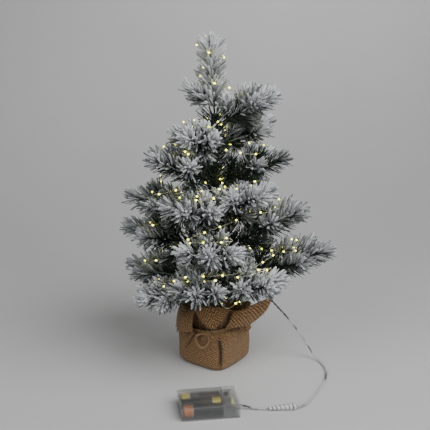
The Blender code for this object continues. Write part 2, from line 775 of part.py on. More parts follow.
def box_lead_route():
    """From the sleeve to the box's side wall, and through it."""
    sleeve = (SLEEVE_RIGHT - SLEEVE_LEFT).normalized()
    outside = box_matrix() @ Vector((BOX_LENGTH + 6 * MM, LEAD_EXIT_Y, LEAD_EXIT_Z - 0.6 * MM))
    inside = box_matrix() @ Vector((BOX_LENGTH - 5 * MM, LEAD_EXIT_Y, LEAD_EXIT_Z))
    start = SLEEVE_LEFT - GAP * sleeve
    sag = start.lerp(outside, 0.45)
    sag.z = 1.8 * MM
    return [start, sag, outside, inside]


def build_leads():
    tube("lead_tree_side", smooth_route(tree_lead_route(), 6 * MM), LEAD_RADIUS, lead_material)
    tube("lead_box_side", smooth_route(box_lead_route(), 4 * MM), LEAD_RADIUS, lead_material)


def build_sleeve():
    """The ribbed sleeve that joins the two stretches of lead, wider towards the tree."""
    stations = []
    for i in range(SLEEVE_RIBS):
        for share, scale in ((0.05, 0.82), (0.30, 1.0), (0.70, 1.0), (0.95, 0.82)):
            along = (i + share) / SLEEVE_RIBS
            radius = SLEEVE_SMALL_RADIUS + along * (SLEEVE_LARGE_RADIUS - SLEEVE_SMALL_RADIUS)
            stations.append((along, scale * radius))
    sleeve = add_object("splice_sleeve", rod(SLEEVE_LEFT, SLEEVE_RIGHT, stations, 12), lead_material)
    smooth(sleeve, 20)


def build_tree():
    remove_everything()
    build_weight()
    build_burlap()
    build_twine()
    build_trunk()
    build_boughs()
    build_leader()
    build_tray()
    build_lid()
    build_cells()
    build_contacts()
    build_switch()
    build_light_wire()
    build_leads()
    build_sleeve()


build_tree()
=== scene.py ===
"""Looks of the artificial tabletop tree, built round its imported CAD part. Metres, +Z up, front at -Y."""

import json
import math

import bpy
import numpy as np
from mathutils import Matrix, Vector


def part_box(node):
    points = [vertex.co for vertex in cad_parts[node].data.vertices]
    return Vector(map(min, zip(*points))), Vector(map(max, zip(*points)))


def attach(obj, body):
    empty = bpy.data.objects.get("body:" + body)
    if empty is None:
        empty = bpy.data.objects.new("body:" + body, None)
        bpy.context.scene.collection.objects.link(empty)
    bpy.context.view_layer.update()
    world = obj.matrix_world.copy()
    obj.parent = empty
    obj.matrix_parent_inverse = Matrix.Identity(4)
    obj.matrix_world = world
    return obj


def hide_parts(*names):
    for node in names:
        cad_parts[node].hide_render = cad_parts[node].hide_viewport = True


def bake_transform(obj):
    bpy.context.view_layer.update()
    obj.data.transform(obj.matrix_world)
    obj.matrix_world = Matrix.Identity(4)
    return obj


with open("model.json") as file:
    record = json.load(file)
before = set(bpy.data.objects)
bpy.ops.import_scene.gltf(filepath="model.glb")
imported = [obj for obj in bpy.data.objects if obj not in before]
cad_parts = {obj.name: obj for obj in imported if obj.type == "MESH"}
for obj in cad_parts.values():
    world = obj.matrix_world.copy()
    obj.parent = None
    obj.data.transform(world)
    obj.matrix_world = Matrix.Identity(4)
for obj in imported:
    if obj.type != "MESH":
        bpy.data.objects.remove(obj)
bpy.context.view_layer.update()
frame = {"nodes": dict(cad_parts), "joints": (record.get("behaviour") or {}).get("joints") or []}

MM = 0.001
UP = Vector((0, 0, 1))

# Camera: straight in front of the tree, looking down at its middle
CAMERA_TARGET = Vector((0.0009, 0, 0.206))
CAMERA_DISTANCE = 1.284
CAMERA_RISE = math.radians(17.9)
CAMERA_VIEW = math.radians(25)

# Lead, sleeve and battery box; their places are the part's
LEAD_STRAIGHT = 4.5 * MM  # of the lead, as it leaves the sleeve
LEAD_TWIST = 13 * MM
STRAND_RADIUS = 0.84 * MM
CORE_RADIUS = 0.60 * MM
STRAND_OFFSET = 0.74 * MM  # of a strand from the lead's middle
SLEEVE_LEFT = Vector((66.5, -151.5, 2.9)) * MM
SLEEVE_RIGHT = Vector((102, -149.3, 4.9)) * MM
SLEEVE_OVERLAP = 1.0 * MM  # of the lead into the sleeve
SLEEVE_RIB = 4.4 * MM
BOX_CORNER = Vector((-40, -180, 0)) * MM
BOX_YAW = math.radians(8.5)
CELL_REACH = 55 * MM  # from the box's left side to just past the cells' right ends

# Foliage
NEEDLE_LENGTH = 24 * MM
NEEDLES_PER_METRE = 2700
TIP_NEEDLES = 26
LEAN = math.radians(50)
GOLDEN_ANGLE = 2.39996
TAPER_LENGTH = 22 * MM  # of a brush, at its tip
WIRE_SHARE = 0.92  # of an arm, that its wire fills
FORK_SHARE = 0.42
LEADER_FORK_SHARE = 0.08
GREEN_RADIUS = 0.60 * MM
GREEN_SHAPE = (0.9, 1.0, 0.45)  # shares of its radius at a needle's root, middle and tip
SPRIGS = ((0.16, 52, 35), (0.24, -38, -40), (0.34, 44, -30), (0.46, 34, 12))  # stem's share, tilt, turn
SPRIG_SHARE = 0.20
SPRIG_LENGTH = 16 * MM  # and a share of the stem's
SPRIG_NEEDLES = 0.86  # of a needle's usual length
BARE_STEM = 7 * MM  # of its wire, before the first needles
BARE_TWIG = 4 * MM
BARE_SPRIG = 3 * MM
LOWEST_TIER = 120 * MM  # its boughs spring from below this height, and have no sprigs underneath

# Flock: how much lies on a bough's stem and on its two side twigs, where 1 is thick
FLOCK = {
    "bough_01": (0.62, 0.5, 0.55), "bough_02": (0.75, 0.95, 0.7), "bough_04": (0.85, 0.85, 0.8),
    "bough_07": (0.6, 0.7, 0.5), "bough_08": (0.8, 0.95, 0.8), "bough_11": (0.9, 0.85, 0.8),
    "bough_12": (0.75, 0.95, 0.7), "bough_15": (0.22, 0.95, 0.45), "bough_16": (0.62, 0.8, 0.6),
    "bough_18": (0.95, 0.85, 0.8), "bough_19": (0.85, 0.85, 0.85), "bough_20": (0.85, 0.8, 0.8),
    "leader": (1.0, 0.85, 0.85),
}
USUAL_FLOCK = (0.65, 0.7, 0.6)
FLOCK_DROP = 0.31  # taken off every needle of a brush
FLOCK_INNER_DROP = 0.60  # taken off a bough's innermost needles as well
FLOCK_ON_TOP = 0.30  # more on a needle that points up, and less on one that points down
FLOCK_AT_TIP = 0.16  # more at a brush's tip
FLOCK_SPREAD = 0.20  # from needle to needle
FLOCK_LEAST = 0.30  # a needle with less stays green
FLOCK_RADIUS = 1.12 * MM
FLOCK_STATIONS = np.array([0, 0.3, 0.68, 0.92, 1.0])  # along the flocked stretch of a needle

# Trunk needles
TRUNK_NEEDLES = 620
TRUNK_NEEDLES_START = 118 * MM
TRUNK_FLOCK_START = 290 * MM  # from here up, more and more of them are flocked

# Lights
LIGHT_SPACING = 24 * MM
LIGHT_RADIUS = 1.15 * MM
LIGHT_HALF_LENGTH = 1.7 * MM
WIRE_RADIUS = 0.32 * MM
WIRE_OFFSET = 0.28 * MM
WIRE_TWIST = 9 * MM
WIRE_STEP = 2.5 * MM
BRUSH_RADIUS = 18 * MM
WIRE_START = ((16, 4, 86), (30, -22, 88), (33, -52, 106), (16, -58, 97), (-3, -60, 119), (-30, -52, 112))
LEADER_STEPS = 12  # of 50 degrees each, upwards
LEADER_LIGHTS_START = 378 * MM
LEADER_LIGHTS_RISE = 62 * MM

# Burlap and twine
BASE_YAW = 54
BURLAP_HALF = 41 * MM
BURLAP_THICKNESS = 1.1 * MM
WEAVE_PITCH = 3.8 * MM
WEAVE_TURN = math.radians(10)
COLUMNS = 420
FLAT_AROUND = 0.29  # metres of cloth round the base
TIE_LEVEL = 58 * MM  # the tie's height for which the side's rows are spaced, before they follow its slope
NECK_SHARE = 0.84  # of the base's half width
FRONT_CREASE, LEFT_CREASE, RIGHT_CREASE = -82, -131, -10  # azimuths
KNOT_AZIMUTH = -102
TWINE_RADIUS = 0.62 * MM
TWINE_OFFSET = 0.55 * MM
TWINE_TWIST = 6 * MM

# Stage, in metres
PAPER_HALF_WIDTH = 3.2
PAPER_FRONT = -2.6
PAPER_BEND = 0.35  # where the floor starts to rise
BEND_RADIUS = 0.9
PAPER_TOP = 3.2
WORLD_STRENGTH = 0.098


# ---- meshes


class Shape:
    """Points and faces gathered for one mesh, with a material number for each face."""

    def __init__(self):
        self.points, self.faces, self.slots, self.count = [], [], [], 0

    def add(self, points, faces, slot=0):
        points = np.asarray(points, float).reshape(-1, 3)
        for group in faces:
            self.faces += (np.asarray(group) + self.count).tolist()
            self.slots += [slot] * len(group)
        self.points.append(points)
        self.count += len(points)

    def make(self, name, materials, smooth=True):
        mesh = bpy.data.meshes.new(name)
        mesh.from_pydata(np.concatenate(self.points), [], self.faces)
        for material in materials:
            mesh.materials.append(material)
        mesh.polygons.foreach_set("material_index", self.slots)
        if smooth:
            mesh.shade_smooth()
        made = bpy.data.objects.new(name, mesh)
        bpy.context.scene.collection.objects.link(made)
        return made


def grid_faces(rows, columns, closed):
    """Quads between neighbouring points of a grid, round again to its first column where it's closed."""
    row = np.arange(rows - 1)[:, None]
    column = np.arange(columns if closed else columns - 1)[None, :]
    after = (column + 1) % columns
    return np.stack([
        row * columns + column, row * columns + after,
        (row + 1) * columns + after, (row + 1) * columns + column,
    ], -1).reshape(-1, 4)


def add_tube(shape, path, radii, sides, slot=0):
    """A round tube along a path, closed at both ends."""
    path = np.asarray([tuple(p) for p in path], float)
    along = np.gradient(path, axis=0)
    along /= np.linalg.norm(along, axis=1)[:, None] + 1e-12
    across, up = frames_along(along)
    angle = math.tau * np.arange(sides) / sides
    radii = np.broadcast_to(np.asarray(radii, float), (len(path),))
    ring = np.cos(angle)[None, :, None] * across[:, None] + np.sin(angle)[None, :, None] * up[:, None]
    points = path[:, None] + radii[:, None, None] * ring
    last = (len(path) - 1) * sides + np.arange(sides)
    shape.add(points, [grid_faces(len(path), sides, True), [np.arange(sides)[::-1]], [last]], slot)


def frames_along(along):
    """Two directions square to each step, carried along the path without twist."""
    first = np.cross(along[0], (0, 0, 1.0))
    if np.linalg.norm(first) < 0.1:
        first = np.cross(along[0], (0, 1.0, 0))
    across = np.zeros_like(along)
    across[0] = first / np.linalg.norm(first)
    for i in range(1, len(along)):
        carried = across[i - 1] - along[i] * np.dot(across[i - 1], along[i])
        across[i] = carried / np.linalg.norm(carried)
    return across, np.cross(along, across)


def smooth_route(route, spacing):
    """Evenly spaced points on a Catmull-Rom curve through the route's points."""
    route = np.asarray([tuple(p) for p in route], float)
    ends = np.concatenate([[2 * route[0] - route[1]], route, [2 * route[-1] - route[-2]]])
    fine = [route[:1]]
    share = (np.arange(24)[:, None] + 1) / 24
    for p0, p1, p2, p3 in zip(ends, ends[1:], ends[2:], ends[3:]):
        fine.append(0.5 * (
            2 * p1 + (p2 - p0) * share + (2 * p0 - 5 * p1 + 4 * p2 - p3) * share ** 2
            + (3 * p1 - p0 - 3 * p2 + p3) * share ** 3
        ))
    fine = np.concatenate(fine)
    travelled = distances(fine)
    wanted = np.linspace(0, travelled[-1], max(3, round(travelled[-1] / spacing) + 1))
    return np.stack([np.interp(wanted, travelled, fine[:, k]) for k in range(3)], -1)


def distances(path):
    """How far along the path each of its points is."""
    return np.concatenate([[0], np.cumsum(np.linalg.norm(np.diff(path, axis=0), axis=1))])


def add_twisted(shape, path, strand_radius, offset, pitch, strands, sides, slot=0):
    """Strands twisted round each other along a finely stepped path."""
    along = np.gradient(path, axis=0)
    along /= np.linalg.norm(along, axis=1)[:, None]
    across, up = frames_along(along)
    travelled = distances(path)
    for strand in range(strands):
        angle = math.tau * (travelled / pitch + strand / strands)
        centre = path + offset * (np.cos(angle)[:, None] * across + np.sin(angle)[:, None] * up)
        add_tube(shape, centre, strand_radius, sides, slot)


def polar(azimuth, radius, height=0.0):
    angle = math.radians(azimuth)
    return Vector((radius * math.cos(angle), radius * math.sin(angle), height))


# ---- materials


class Finish:
    """A material with node helpers for procedural patterns."""

    def __init__(self, name, roughness, metallic=0.0, **values):
        self.material = bpy.data.materials.new(name)
        self.material.use_nodes = True
        self.nodes, self.links = self.material.node_tree.nodes, self.material.node_tree.links
        self.shader = self.nodes["Principled BSDF"]
        self.shader.inputs["Roughness"].default_value = roughness
        self.shader.inputs["Metallic"].default_value = metallic
        for key, value in values.items():
            self.shader.inputs[key.replace("_", " ")].default_value = value

    def node(self, kind, inputs=None, **settings):
        made = self.nodes.new("ShaderNode" + kind)
        for key, value in settings.items():
            setattr(made, key, value)
        for key, value in (inputs or {}).items():
            self.put(value, made.inputs[key])
        return made

    def put(self, value, socket):
        if isinstance(value, bpy.types.NodeSocket):
            self.links.new(value, socket)
        else:
            socket.default_value = value

    def place(self):
        return self.node("TexCoord").outputs["Object"]

    def noise(self, scale, detail=3.0, vector=None):
        inputs = {"Vector": vector or self.place(), "Scale": scale, "Detail": detail, "Roughness": 0.6}
        return self.node("TexNoise", inputs).outputs["Fac"]

    def ramp(self, factor, *stops, sharp=False):
        made = self.node("ValToRGB", {"Fac": factor})
        if sharp:
            made.color_ramp.interpolation = "CONSTANT"
        elements = made.color_ramp.elements
        while len(elements) < len(stops):
            elements.new(0.5)
        for element, (position, colour) in zip(elements, stops):
            element.position = position
            element.color = (*colour, 1.0)
        return made.outputs["Color"]

    def math(self, operation, a, b=0.0):
        made = self.node("Math", operation=operation)
        self.put(a, made.inputs[0])
        self.put(b, made.inputs[1])
        return made.outputs[0]

    def mix(self, factor, a, b):
        made = self.node("MixRGB")
        self.put(factor, made.inputs[0])
        self.put(a, made.inputs[1])
        self.put(b, made.inputs[2])
        return made.outputs[0]

    def colour(self, value):
        self.links.new(value, self.shader.inputs["Base Color"])
        return self

    def bump(self, height, strength, distance):
        made = self.node("Bump", {"Height": height, "Strength": strength, "Distance": distance})
        self.links.new(made.outputs[0], self.shader.inputs["Normal"])
        return self


def speckled(name, roughness, dark, light, scale, relief=0.0, spread=0.15, **values):
    """A finish whose colour drifts between two shades, more sharply the lower its spread."""
    finish = Finish(name, roughness, **values)
    grain = finish.noise(scale)
    finish.colour(finish.ramp(grain, (0.5 - spread, dark), (0.5 + spread, light)))
    if relief:
        finish.bump(grain, 0.5, relief)
    return finish.material


def flock_finish():
    """White powder where the "snow" attribute is high, and green showing through where it's low."""
    finish = Finish("flock", 0.95, Sheen_Weight=0.15)
    grain = finish.noise(900.0)
    thickness = finish.node("Attribute", attribute_name="snow").outputs["Fac"]
    powder = finish.math("MULTIPLY_ADD", grain, 0.7)
    powder.node.inputs[2].default_value = -0.35
    amount = finish.math("ADD", thickness, powder)
    green, grey, white = (0.045, 0.066, 0.056), (0.24, 0.255, 0.26), (0.74, 0.755, 0.775)
    finish.colour(finish.ramp(amount, (0.05, green), (0.5, grey), (1.0, white)))
    return finish.bump(grain, 0.6, 0.3 * MM).material


def weave_finish():
    """Jute threads over and under each other, on the cloth's own flat coordinates.

    The "fold" attribute darkens the cloth with painted shade in its creases, between its gathers and round
    the tie.
    """
    finish = Finish("burlap", 0.95, Sheen_Weight=0.1)
    flat = finish.node("UVMap", uv_map="flat").outputs[0]
    turned = finish.node("Mapping", {"Vector": flat, "Rotation": (0, 0, WEAVE_TURN)}).outputs[0]
    wander = finish.noise(260.0, 3.0, turned)
    parts = finish.node("SeparateXYZ", {"Vector": turned}).outputs
    waves = []
    for axis in (0, 1):
        phase = finish.math("MULTIPLY", parts[axis], math.tau / WEAVE_PITCH)
        phase = finish.math("ADD", phase, finish.math("MULTIPLY", wander, 3.0))
        waves.append(finish.math("SINE", phase))
    check = finish.math("MULTIPLY", waves[0], waves[1])
    fibre = finish.noise(600.0, 3.0, turned)
    uneven = finish.math("MULTIPLY", finish.math("SUBTRACT", fibre, 0.5), 2.9)
    height = finish.math("ADD", finish.math("MULTIPLY", check, 0.43), finish.math("ADD", uneven, 0.5))
    # Partly the threads' own uneven tone and partly painted light: the gaps between threads are painted
    # dark as shade, and the threads' tops light, after the same height as the bump.
    gap, usual, lit = (0.026, 0.011, 0.004), (0.150, 0.076, 0.029), (0.53, 0.33, 0.155)
    threads = finish.ramp(height, (0.0, gap), (0.45, usual), (1.0, lit))
    stains = finish.noise(25.0, 3.0)
    cloth = finish.mix(finish.math("MULTIPLY", stains, 0.35), threads, (0.138, 0.070, 0.026, 1.0))
    # Painted shade: the "fold" attribute mixes the cloth towards near black in its creases and round the
    # tie.
    painted_crease_shade = finish.node("Attribute", attribute_name="fold").outputs["Fac"]
    finish.colour(finish.mix(painted_crease_shade, cloth, (0.030, 0.014, 0.006, 1.0)))
    return finish.bump(height, 0.7, 0.6 * MM).material


def cell_finish(name, end_colour, end_at_right):
    """A plain cell: a metallic band at its positive end, a dark body, and a thin pale ring."""
    finish = Finish(name, 0.28, 0.55)
    flat = finish.node("Mapping", {"Vector": finish.place(), "Rotation": (0, 0, -BOX_YAW)}).outputs[0]
    start = Matrix.Rotation(-BOX_YAW, 3, "Z") @ BOX_CORNER
    along = finish.math("SUBTRACT", finish.node("SeparateXYZ", {"Vector": flat}).outputs[0], start.x)
    share = finish.math("DIVIDE", along, CELL_REACH)
    dark, pale, steel = (0.016, 0.016, 0.018), (0.45, 0.43, 0.38), (0.40, 0.40, 0.39)
    if end_at_right:
        stops = ((0.0, steel), (0.055, dark), (0.745, pale), (0.765, end_colour), (0.955, steel))
    else:
        stops = ((0.0, steel), (0.065, end_colour), (0.265, pale), (0.285, dark), (0.955, steel))
    bands = finish.ramp(share, *stops, sharp=True)
    wear = finish.noise(300.0)
    finish.colour(finish.mix(finish.math("MULTIPLY", wear, 0.10), bands, (0.3, 0.3, 0.3, 1.0)))
    return finish.material


def hazy_finish(name, tint, roughness, alpha, transmission):
    """Clear plastic, part of whose light goes straight through."""
    finish = Finish(name, roughness, Alpha=alpha, Transmission_Weight=transmission, IOR=1.49)
    haze = finish.noise(60.0)
    finish.colour(finish.ramp(haze, (0.3, tuple(0.9 * c for c in tint)), (0.7, tint)))
    return finish.material


def ribbed_finish():
    """Clear plastic with ribs slanting across the sleeve's length, painted with white highlights on the
    ribs and grey shade between them.
    """
    finish = Finish("sleeve_plastic", 0.15, Alpha=0.85, Transmission_Weight=0.35, IOR=1.49)
    run = SLEEVE_RIGHT - SLEEVE_LEFT
    turn = -math.atan2(run.y, run.x) - math.radians(28)
    turned = finish.node("Mapping", {"Vector": finish.place(), "Rotation": (0, 0, turn)}).outputs[0]
    along = finish.node("SeparateXYZ", {"Vector": turned}).outputs[0]
    phase = finish.math("MULTIPLY", along, math.tau / SLEEVE_RIB)
    wave = finish.math("MULTIPLY", finish.math("ADD", finish.math("SINE", phase), 1.0), 0.5)
    uneven = finish.math("ADD", wave, finish.math("MULTIPLY", finish.noise(300.0), 0.3))
    # Painted highlights and shade: near white along each rib's crest and grey between the ribs.
    finish.colour(finish.ramp(uneven, (0.20, (0.22, 0.22, 0.23)), (0.75, (0.90, 0.90, 0.89))))
    return finish.bump(wave, 0.8, 0.6 * MM).material


def wound_finish(name, dark, light, pitch, roughness, metallic=0.0, axis="Z"):
    """Windings across an upright or any other length, such as a trunk's tape or twisted wire."""
    finish = Finish(name, roughness, metallic)
    wave = finish.node("TexWave", {
        "Vector": finish.place(), "Scale": 1 / pitch / 3.2, "Distortion": 1.5, "Detail": 2.0,
    }, wave_type="BANDS", bands_direction=axis).outputs["Fac"]
    finish.colour(finish.ramp(wave, (0.2, dark), (0.8, light)))
    return finish.bump(wave, 0.6, 0.4 * MM).material


def led_finish():
    finish = Finish("light", 0.2)
    grain = finish.noise(700.0, 1.0)
    glow = finish.ramp(grain, (0.3, (0.92, 0.86, 0.07)), (0.7, (0.97, 0.98, 0.16)))
    finish.colour(glow)
    finish.links.new(glow, finish.shader.inputs["Emission Color"])
    finish.shader.inputs["Emission Strength"].default_value = 7.0
    return finish.material


FLOCKED = flock_finish()
GREEN = speckled("green_needles", 0.6, (0.010, 0.020, 0.015), (0.050, 0.076, 0.057), 400.0)
STEM_WIRE = wound_finish("stem_wire", (0.02, 0.03, 0.02), (0.10, 0.13, 0.10), 2 * MM, 0.45, 0.5, "DIAGONAL")
TAPE = wound_finish("trunk_tape", (0.012, 0.022, 0.014), (0.045, 0.070, 0.045), 6 * MM, 0.7)
CEMENT = speckled("cement", 0.95, (0.30, 0.29, 0.27), (0.52, 0.50, 0.47), 120.0, 0.4 * MM)
BURLAP = weave_finish()
TWINE = speckled("twine", 0.95, (0.13, 0.075, 0.033), (0.38, 0.25, 0.13), 700.0, 0.2 * MM)
LIGHT = led_finish()
LIGHT_WIRE = speckled("light_wire", 0.3, (0.42, 0.42, 0.30), (0.72, 0.72, 0.52), 300.0, metallic=0.7)
CLEAR = hazy_finish("clear_plastic", (0.68, 0.70, 0.69), 0.06, 0.46, 0.9)
CONTACT = speckled("contact", 0.3, (0.55, 0.55, 0.53), (0.78, 0.78, 0.76), 500.0, metallic=0.95)
SWITCH = speckled("switch_plastic", 0.5, (0.015, 0.015, 0.016), (0.04, 0.04, 0.042), 300.0, 0.1 * MM)
# Painted glints: the lead's core swings in long patches between near black and near white, standing in for
# shine along the lead.
CORE = speckled("lead_core", 0.35, (0.015, 0.015, 0.015), (0.95, 0.95, 0.94), 20.0, spread=0.05)
INSULATION = hazy_finish("lead_plastic", (0.36, 0.37, 0.38), 0.08, 0.40, 0.5)
SLEEVE = ribbed_finish()


# ---- camera and cords


def place_camera():
    camera = bpy.data.objects.new("camera", bpy.data.cameras.new("camera"))
    away = Vector((0, -math.cos(CAMERA_RISE), math.sin(CAMERA_RISE)))
    camera.location = CAMERA_TARGET + CAMERA_DISTANCE * away
    camera.rotation_euler = (math.radians(90) - CAMERA_RISE, 0, 0)
    camera.data.angle = CAMERA_VIEW
    bpy.context.scene.collection.objects.link(camera)
    bpy.context.scene.camera = camera


def box_matrix():
    return Matrix.Translation(BOX_CORNER) @ Matrix.Rotation(BOX_YAW, 4, "Z")


def lead_routes():
    """The tree side's route, over the cloth's rim and round on the floor, and the box side's."""
    sleeve = (SLEEVE_RIGHT - SLEEVE_LEFT).normalized()
    tree_side = [Vector(point) * MM for point in (
        (16, 4, 86), (30, 5, 92), (46, 5, 95), (62, 3, 93), (76, 0, 85), (89, -2, 72),
        (102, -3, 57), (114, -4, 41), (125, -5, 25), (133, -7, 12), (140, -13, 4.5),
        (146, -24, 1.8), (150, -42, 1.6), (148.5, -62, 1.6), (143, -82, 1.6), (135, -101, 1.6),
        (127, -116, 1.6), (120, -130, 1.8), (114, -141, 3.0),
    )] + [SLEEVE_RIGHT + LEAD_STRAIGHT * sleeve, SLEEVE_RIGHT - SLEEVE_OVERLAP * sleeve]
    outside = box_matrix() @ (Vector((79, 20, 5.4)) * MM)
    inside = box_matrix() @ (Vector((68, 20, 6)) * MM)
    start = SLEEVE_LEFT + SLEEVE_OVERLAP * sleeve
    sag = start.lerp(outside, 0.45)
    sag.z = 1.8 * MM
    return tree_side, [start, sag, outside, inside]


def make_lead(name, route, far_end, **facts):
    """Two clear wires twisted round each other, their cores painted in long patches of near black and of
    near white glint.
    """
    path = smooth_route(route, 1.2 * MM)
    shape = Shape()
    add_twisted(shape, path, CORE_RADIUS, STRAND_OFFSET, LEAD_TWIST, 2, 6, slot=1)
    add_twisted(shape, path, STRAND_RADIUS, STRAND_OFFSET, LEAD_TWIST, 2, 8, slot=0)
    lead = shape.make(name + "_wires", [INSULATION, CORE])
    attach(lead, "root")
    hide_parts(name)


# ---- foliage


def arms_of(joint, wire):
    """(root, end) of a bough's stem and (fork, end) of its side twigs, to its needles' outer ends."""
    root = Vector(joint["pos_m"])
    side = Vector(joint["axis"])
    points = [Vector(v.co) for v in frame["nodes"][wire].data.vertices]
    far = max(points, key=lambda p: (p - root).length)
    stem = (far - root) / WIRE_SHARE
    share = FORK_SHARE if wire.startswith("bough") else LEADER_FORK_SHARE
    fork = root + share * stem
    arms = [(root, root + stem)]
    for chosen in (min, max):
        tip = chosen(points, key=lambda p: (p - root).dot(side))
        arms.append((fork, fork + (tip - fork) / WIRE_SHARE))
    return arms


def sprigs_of(arms):
    """(start, end) of the short sprigs above and below a stem."""
    root, end = arms[0]
    stem = end - root
    side = stem.cross(UP).normalized()
    up = side.cross(stem).normalized()
    sprigs = []
    for share, tilt, turn in SPRIGS:
        if root.z < LOWEST_TIER and tilt < 0:
            continue
        tilt, turn = math.radians(tilt), math.radians(turn)
        level = math.cos(turn) * stem.normalized() + math.sin(turn) * side
        direction = math.cos(tilt) * level + math.sin(tilt) * up
        start = root + share * stem
        sprigs.append((start, start + (SPRIG_LENGTH + SPRIG_SHARE * stem.length) * direction))
    return sprigs


def unit_frame(along):
    """A direction of length 1 and two more square to it."""
    along = along / np.linalg.norm(along)
    across = np.cross(along, (0, 0, 1.0))
    if np.linalg.norm(across) < 0.05:
        across = np.array((1.0, 0, 0))
    across = across / np.linalg.norm(across)
    return along, across, np.cross(across, along)


def brush_needles(rng, start, end, bare, flock, length, blunt=0.0, inner=FLOCK_INNER_DROP):
    """Roots, directions, lengths and flocking of the needles twisted into one arm's wire.

    The wire is bare up to the given length. A brush tapers where blunt is 0, and stays wide where it's 1.
    """
    start, end = np.array(start), np.array(end)
    along, across, up = unit_frame(end - start)
    reach = np.linalg.norm(end - start) - (0.62 + 0.40 * blunt) * length
    count = int((reach - bare) * NEEDLES_PER_METRE)
    place = np.concatenate([np.sort(rng.uniform(bare, reach, count)), np.full(TIP_NEEDLES, reach)])
    total = len(place)
    turn = np.arange(total) * GOLDEN_ANGLE + rng.normal(0, 0.25, total)
    nearing = np.clip((place - (reach - TAPER_LENGTH)) / TAPER_LENGTH, 0, 1)
    lean = LEAN * (1 - 0.35 * nearing ** 2 * (1 - blunt)) + rng.normal(0, math.radians(8), total)
    lean[-TIP_NEEDLES:] = np.radians(rng.uniform(2 + 14 * blunt, 46 + 30 * blunt, TIP_NEEDLES))
    radial = np.cos(turn)[:, None] * across + np.sin(turn)[:, None] * up
    direction = np.cos(lean)[:, None] * along + np.sin(lean)[:, None] * radial
    lengths = length * rng.uniform(0.68, 1.1, total) * (1 - 0.18 * nearing)
    root = start + place[:, None] * along
    amount = flock - FLOCK_DROP + FLOCK_ON_TOP * direction[:, 2] + FLOCK_AT_TIP * nearing
    amount += rng.normal(0, FLOCK_SPREAD, total)
    amount -= inner * np.clip(1 - (place - bare) / (0.6 * reach), 0, 1)
    return root, direction, lengths, np.clip(amount, 0, 1.1), along


def spikes(root, tip, bend, radii, shares, sides, turn):
    """Closed, slightly bent spikes; radii and shares have a row for each spike, a column for each ring."""
    count, rings = radii.shape
    centre = root[:, None] + shares[..., None] * (tip - root)[:, None]
    centre = centre + (shares ** 2)[..., None] * bend[:, None]
    along = tip - root
    along /= np.linalg.norm(along, axis=1)[:, None]
    across = np.cross(along, (0.31, 0.17, 0.93))
    across /= np.linalg.norm(across, axis=1)[:, None]
    up = np.cross(along, across)
    angle = math.tau * np.arange(sides) / sides + turn[:, None]
    ring = np.cos(angle)[..., None] * across[:, None] + np.sin(angle)[..., None] * up[:, None]
    points = centre[:, :, None] + radii[:, :, None, None] * ring[:, None]
    quads = grid_faces(rings, sides, True)
    step = rings * sides
    starts = (np.arange(count) * step)[:, None, None]
    sides_index = np.arange(sides)
    caps = np.stack([sides_index[::-1], (rings - 1) * sides + sides_index])
    faces = [(quads[None] + starts).reshape(-1, 4), (caps[None] + starts).reshape(-1, sides)]
    return points.reshape(-1, 3), faces


def set_values(obj, name, values):
    attribute = obj.data.attributes.new(name, "FLOAT", "POINT")
    attribute.data.foreach_set("value", np.asarray(values, np.float32))


def make_needles(body, joint, seed):
    """One bough's needles: green strips, and the flock that covers most of them."""
    rng = np.random.default_rng(seed)
    flocks = FLOCK.get(body, USUAL_FLOCK)
    groups = []
    arms = arms_of(joint, body + "_wire")
    is_leader = body == "leader"
    sprigs = [] if is_leader else sprigs_of(arms)
    inner = 0.0 if is_leader else FLOCK_INNER_DROP
    for index, (start, end) in enumerate(arms):
        blunt = 1.0 if is_leader and index == 0 else 0.0
        length = NEEDLE_LENGTH * (1 + 0.08 * blunt)
        bare = BARE_STEM if index == 0 else BARE_TWIG
        groups.append(brush_needles(rng, start, end, bare, flocks[index], length, blunt, inner))
    for index, (start, end) in enumerate(sprigs):
        level = flocks[0] - (0.12 if index % 2 == 0 else 0.28)
        groups.append(brush_needles(rng, start, end, BARE_SPRIG, level, SPRIG_NEEDLES * NEEDLE_LENGTH))
    root, direction, lengths, amount = (np.concatenate([group[i] for group in groups]) for i in range(4))
    forward = np.concatenate([np.repeat(group[4][None], len(group[0]), 0) for group in groups])
    total = len(root)
    tip = root + lengths[:, None] * direction
    bend = 0.10 * lengths[:, None] * forward + rng.normal(0, 0.9 * MM, (total, 3))
    flocked = amount > FLOCK_LEAST
    flock_start = np.clip(0.62 - 0.62 * amount, 0.06, 0.6)
    strip_end = np.where(flocked, np.minimum(flock_start + 0.15, 1.0), 1.0)
    strip = np.stack([np.zeros(total), 0.5 * strip_end, strip_end], -1)
    green_radii = GREEN_RADIUS * rng.uniform(0.8, 1.25, (total, 1)) * np.array(GREEN_SHAPE)
    shape = Shape()
    shape.add(*spikes(root, tip, bend, green_radii, strip, 3, rng.uniform(0, 6, total)))
    for start, end in sprigs:
        add_tube(shape, [start, start.lerp(end, 0.45), start.lerp(end, 0.8)], 0.6 * MM, 5)
    green = shape.make(body + "_green", [GREEN], smooth=False)
    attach(green, body)
    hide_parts(body + "_needles")
    chosen = np.flatnonzero(flocked)
    count = len(chosen)
    begin = flock_start[chosen][:, None]
    share = begin + (1.03 - begin) * FLOCK_STATIONS
    lumps = rng.uniform(0.72, 1.3, (count, 5)) * np.array([0.55, 0.95, 1.1, 0.95, 0.35])
    thick = FLOCK_RADIUS * (0.55 + 0.6 * amount[chosen])[:, None] * rng.uniform(0.8, 1.2, (count, 1))
    shape = Shape()
    turn = rng.uniform(0, 6, count)
    shape.add(*spikes(root[chosen], tip[chosen], bend[chosen], thick * lumps, share, 5, turn))
    white = shape.make(body + "_flock", [FLOCKED])
    set_values(white, "snow", np.repeat(amount[chosen] + rng.normal(0, 0.1, count), 25))
    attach(white, body)


